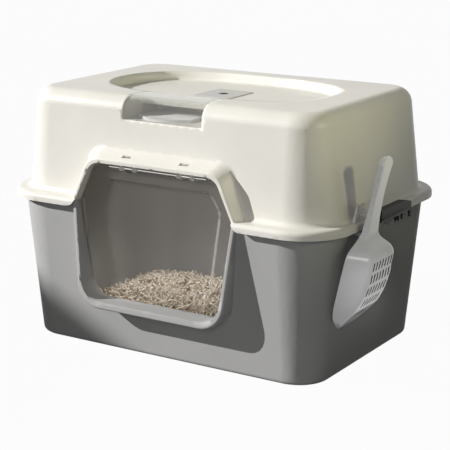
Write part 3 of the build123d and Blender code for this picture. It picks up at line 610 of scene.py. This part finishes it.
# ---------------------------------------------------------------- litter
@dataclass
class PelletHeap:
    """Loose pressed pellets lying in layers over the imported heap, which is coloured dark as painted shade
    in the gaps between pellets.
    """

    node: str = "litter_bed"
    body: str = "base"
    pellets_per_piece: int = 2700
    pieces: int = 2
    radius: float = 1.5 * MM
    sides: int = 6
    lengths: tuple[float, float] = (16 * MM, 28 * MM)
    tilt: float = math.radians(28.0)
    inset: float = 4 * MM
    depth: float = 5.5 * MM
    look_from: float = 1.0
    crease: float = 62.0
    seed: int = 11
    # painted shade: a darker copy of the pellet colours, for the heap seen in the gaps between pellets
    gap_shade: PressedPellet = PressedPellet(
        "painted_pellet_shade", (0.16, 0.12, 0.08), (0.24, 0.18, 0.13), (0.32, 0.25, 0.18),
    )

    def stick(self) -> bpy.types.Mesh:
        """Models one pellet along X, as a rod of unit length with flat ends.

        Returns:
            The pellet's mesh.
        """
        deselect_all()
        bpy.ops.mesh.primitive_cylinder_add(
            vertices=self.sides, radius=self.radius, depth=1.0, end_fill_type="NGON",
            rotation=(0, math.pi / 2, 0),
        )
        rod = bpy.context.object
        rod.data.transform(rod.matrix_world)
        rod.matrix_world = Matrix.Identity(4)
        mesh = rod.data.copy()
        bpy.data.objects.remove(rod)
        return mesh

    def surface(self) -> Callable[[float, float], float | None]:
        """Makes a function that gives the heap's height over a point of the floor.

        Returns:
            The function, which gives None beside the heap.
        """
        source = frame["nodes"][self.node]

        def height(x: float, y: float) -> float | None:
            """Looks straight down on the heap at a point."""
            hit, place, _, _ = source.ray_cast(Vector((x, y, self.look_from)), Vector((0, 0, -1)))
            return place.z if hit else None

        return height

    def place(self, rng: random.Random, low: Vector, high: Vector) -> tuple[float, float]:
        """Draws a random point over the heap's box.

        Args:
            rng: The piece's random numbers.
            low: The box's lowest corner.
            high: The box's highest corner.

        Returns:
            The point's x and y.
        """
        return (
            rng.uniform(low.x + self.inset, high.x - self.inset),
            rng.uniform(low.y + self.inset, high.y - self.inset),
        )

    def piece(self, number: int, stick: bpy.types.Mesh, finisher: Finisher) -> bpy.types.Object:
        """Lays one piece's share of the pellets.

        Args:
            number: Which share this is.
            stick: One pellet's mesh.
            finisher: Gives the material.

        Returns:
            One object that holds all pellets of the share.
        """
        rng = random.Random(self.seed + number)
        height = self.surface()
        low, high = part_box(self.node)
        shape = [v.co.copy() for v in stick.vertices]
        faces = [tuple(p.vertices) for p in stick.polygons]
        points: list[Vector] = []
        polygons: list[tuple[int, ...]] = []
        laid = 0
        while laid < self.pellets_per_piece:
            x, y = self.place(rng, low, high)
            length = rng.uniform(*self.lengths)
            yaw = rng.uniform(0, math.pi)
            reach = Vector((math.cos(yaw), math.sin(yaw))) * length / 2
            ends = [height(x - reach.x, y - reach.y), height(x + reach.x, y + reach.y)]
            middle = height(x, y)
            laid += 1
            if None in ends or middle is None:
                continue
            lean = math.atan2(ends[0] - ends[1], length) + rng.gauss(0, self.tilt)
            lift = rng.uniform(-self.depth, self.radius)
            spin = Matrix.Rotation(yaw, 4, "Z") @ Matrix.Rotation(lean, 4, "Y")
            move = Matrix.Translation((x, y, middle + lift)) @ spin
            corners = [move @ Vector((c.x * length, c.y, c.z)) for c in shape]
            if min(corner.z for corner in corners) < low.z:
                continue
            start = len(points)
            points += corners
            polygons += [tuple(start + i for i in face) for face in faces]
        mesh = bpy.data.meshes.new(f"pellets_{number}")
        mesh.from_pydata(points, [], polygons)
        piece = bpy.data.objects.new(f"litter_pellets_{number}", mesh)
        bpy.context.scene.collection.objects.link(piece)
        activate(piece)
        bpy.ops.object.shade_smooth_by_angle(angle=math.radians(self.crease))
        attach(piece, self.body)
        finisher.dress(piece, Slot.LITTER)
        return piece

    def build(self, finisher: Finisher) -> list[bpy.types.Object]:
        """Lays all pellets and the heap under them, the heap in a dark copy of the pellet colours that
        paints the shade between pellets.

        Args:
            finisher: Gives the material.

        Returns:
            The heap and the pieces that hold the pellets.
        """
        heap = merged_copy(self.node, "litter_heap")
        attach(heap, self.body)
        finisher.dress(heap, Slot.LITTER)
        # painted shade: the heap takes the dark copy of the pellet colours, for the shade between pellets
        heap.data.materials[0] = self.gap_shade.build()
        stick = self.stick()
        laid = [self.piece(i + 1, stick, finisher) for i in range(self.pieces)]
        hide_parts(self.node)
        return [heap, *laid]


@dataclass(frozen=True)
class FilterPlug:
    """A black plug, dressed as the filter foam, that fills the hole of the vent cover from below and keeps
    the hole dark.
    """

    cover: str = "vent_cover"
    body: str = "hood"
    radius: float = 7.3 * MM
    low: float = 0.2 * MM
    under: float = 0.6 * MM
    edge: float = 0.4 * MM
    edge_segments: int = 2
    sides: int = 48
    crease: float = 40.0

    def build(self, finisher: Finisher) -> bpy.types.Object:
        """Models the plug in the middle of the cover and gives it the foam's look.

        Args:
            finisher: Gives the material.

        Returns:
            The plug.
        """
        low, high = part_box(self.cover)
        bottom, top = low.z + self.low, high.z - self.under
        deselect_all()
        bpy.ops.mesh.primitive_cylinder_add(vertices=self.sides, radius=self.radius, depth=top - bottom)
        plug = bpy.context.object
        plug.name = "filter_plug"
        centre = ((low.x + high.x) / 2, (low.y + high.y) / 2, (bottom + top) / 2)
        plug.data.transform(Matrix.Translation(centre))
        plug.matrix_world = Matrix.Identity(4)
        apply_modifier(plug, "BEVEL", width=self.edge, segments=self.edge_segments)
        bpy.ops.object.shade_smooth_by_angle(angle=math.radians(self.crease))
        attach(plug, self.body)
        finisher.dress(plug, Slot.FOAM)
        return plug


# ---------------------------------------------------------------- stage
def set_up(name: str, data: bpy.types.ID, place: Point, target: Point) -> bpy.types.Object:
    """Puts a lamp or a camera into the scene and turns it to a point.

    Args:
        name: The object's name.
        data: The lamp's or the camera's own data.
        place: Where it stands.
        target: What it points at.

    Returns:
        The new object.
    """
    thing = bpy.data.objects.new(name, data)
    bpy.context.scene.collection.objects.link(thing)
    thing.location = place
    direction = Vector(target) - Vector(place)
    thing.rotation_euler = direction.to_track_quat("-Z", "Y").to_euler()
    return thing


@dataclass(frozen=True)
class Beam:
    """A spot lamp: where it stands, what it aims at, how wide and how strong it is."""

    name: str
    place: Point
    aim: Point
    radius: float
    width: float
    blend: float
    power: float
    colour: Rgb = (1.0, 0.99, 0.97)

    def build(self) -> None:
        """Adds the lamp."""
        data = bpy.data.lights.new(self.name, "SPOT")
        data.energy = self.power
        data.color = self.colour
        data.shadow_soft_size = self.radius
        data.spot_size = math.radians(self.width)
        data.spot_blend = self.blend
        set_up(self.name, data, self.place, self.aim)


BEAMS = (
    Beam("key", (-6.817, -4.260, 4.047), (2.8730, 0.3433, 5.2127), 0.025, 67.73, 0.0060, 4600.0),
    Beam("litter", (-0.09, -0.06, 0.30), (-0.09, -0.03, 0.05), 0.02, 90.0, 0.9, 1.8, (1.0, 0.95, 0.87)),
    Beam("inside", (0.0, -0.09, 0.30), (0.0, 0.17, 0.14), 0.06, 150.0, 1.0, 0.53, (1.0, 0.96, 0.89)),
    Beam("scoop", (1.35, -1.60, 0.80), (0.285, -0.084, 0.13), 0.02, 3.0, 0.7, 26.0),
    Beam("side", (1.5, -0.10, 0.80), (0.25, -0.18, 0.630), 0.10, 36.0, 0.3, 22.0, (1.0, 0.97, 0.62)),
    Beam("back", (3.7, 1.0, 1.2), (0.235, 0.0, 0.777), 0.12, 24.0, 0.547, 11.0, (0.85, 1.0, 0.12)),
)


@dataclass
class Studio:
    """Camera, floor and soft lamps."""

    camera_place: Point = (1.1009, -1.7385, 0.6906)
    camera_target: Point = (0.0019, 0.0, 0.16218)
    lens: float = 113.84
    sensor: float = 36.0
    floor_size: float = 24.0
    floor_drop: float = 0.5 * MM
    floor_colour: Rgb = (0.16, 0.16, 0.16)
    floor_roughness: float = 0.9
    floor_specular: float = 0.1
    floor_white: float = 0.97
    sky_colour: Rgb = (1.0, 0.985, 0.95)
    sky_strength: float = 0.06
    front_place: Point = (1.3, -3.2, 1.2)
    front_size: float = 1.2
    front_power: float = 17.5

    def camera(self) -> None:
        """Places the camera with its lens."""
        data = bpy.data.cameras.new("view")
        data.lens = self.lens
        data.sensor_width = self.sensor
        bpy.context.scene.camera = set_up("view", data, self.camera_place, self.camera_target)

    def front(self) -> None:
        """Adds a weak soft lamp beside the camera."""
        data = bpy.data.lights.new("front", "AREA")
        data.shape = "SQUARE"
        data.size = self.front_size
        data.energy = self.front_power
        set_up("front", data, self.front_place, self.camera_target)

    def floor(self) -> None:
        """Adds a floor that shows white to the camera and keeps a soft shadow."""
        deselect_all()
        bpy.ops.mesh.primitive_plane_add(size=self.floor_size, location=(0, 0, -self.floor_drop))
        plane = bpy.context.object
        plane.name = "floor"
        plane.data.transform(plane.matrix_world)
        plane.matrix_world = Matrix.Identity(4)
        sheet = NodeSheet("pale_floor")
        sheet.set(
            Base_Color=(*self.floor_colour, 1.0), Roughness=self.floor_roughness,
            Specular_IOR_Level=self.floor_specular,
        )
        self.whiten(sheet.tree, sheet.shader.outputs["BSDF"], sheet.output, self.floor_white)
        plane.data.materials.append(sheet.material)

    def seen(self, tree: bpy.types.NodeTree) -> bpy.types.NodeSocket:
        """Makes a value of 1 for what the camera, gloss and glass see, and 0 for light.

        Args:
            tree: The nodes to add to.

        Returns:
            The value's socket.
        """
        path = tree.nodes.new("ShaderNodeLightPath")
        share = path.outputs["Is Camera Ray"]
        for ray in ("Is Glossy Ray", "Is Transmission Ray"):
            larger = tree.nodes.new("ShaderNodeMath")
            larger.operation = "MAXIMUM"
            tree.links.new(share, larger.inputs[0])
            tree.links.new(path.outputs[ray], larger.inputs[1])
            share = larger.outputs[0]
        return share

    def whiten(
        self, tree: bpy.types.NodeTree, plain: bpy.types.NodeSocket, output: bpy.types.Node, share: float,
    ) -> None:
        """Blends a shader with plain white for what the camera, gloss and glass see.

        Args:
            tree: The material's nodes.
            plain: The shader that other rays see.
            output: The material's output node.
            share: How much of the white shows; the rest keeps the shadow.
        """
        seen = self.seen(tree)
        scaled = tree.nodes.new("ShaderNodeMath")
        scaled.operation = "MULTIPLY"
        scaled.inputs[1].default_value = share
        tree.links.new(seen, scaled.inputs[0])
        white = tree.nodes.new("ShaderNodeEmission")
        white.inputs["Strength"].default_value = 1.0
        mix = tree.nodes.new("ShaderNodeMixShader")
        tree.links.new(scaled.outputs[0], mix.inputs["Fac"])
        tree.links.new(plain, mix.inputs[1])
        tree.links.new(white.outputs["Emission"], mix.inputs[2])
        tree.links.new(mix.outputs["Shader"], output.inputs["Surface"])

    def world(self) -> None:
        """Sets an even pale sky that is white to the camera."""
        world = bpy.data.worlds.new("sky")
        bpy.context.scene.world = world
        world.use_nodes = True
        tree = world.node_tree
        tree.nodes.clear()
        output = tree.nodes.new("ShaderNodeOutputWorld")
        fill = tree.nodes.new("ShaderNodeBackground")
        fill.inputs["Color"].default_value = (*self.sky_colour, 1.0)
        fill.inputs["Strength"].default_value = self.sky_strength
        white = tree.nodes.new("ShaderNodeBackground")
        white.inputs["Color"].default_value = (*WHITE, 1.0)
        white.inputs["Strength"].default_value = 1.0
        mix = tree.nodes.new("ShaderNodeMixShader")
        tree.links.new(self.seen(tree), mix.inputs["Fac"])
        tree.links.new(fill.outputs["Background"], mix.inputs[1])
        tree.links.new(white.outputs["Background"], mix.inputs[2])
        tree.links.new(mix.outputs["Shader"], output.inputs["Surface"])

    def build(self) -> None:
        """Sets up everything that isn't the object."""
        self.camera()
        self.floor()
        self.world()
        self.front()
        for beam in BEAMS:
            beam.build()
        bpy.context.scene.view_settings.view_transform = "Standard"


def main() -> None:
    """Builds the stage and every sub-assembly."""
    logging.basicConfig(level=logging.INFO)
    Studio().build()
    finisher = Finisher()
    for shell in shells_of_record(frame["record"]):
        LOG.info("built %s", shell.build(finisher).name)
    LOG.info("built %s", FilterPlug().build(finisher).name)
    for piece in PelletHeap().build(finisher):
        LOG.info("built %s", piece.name)


if __name__ == "__main__":
    main()
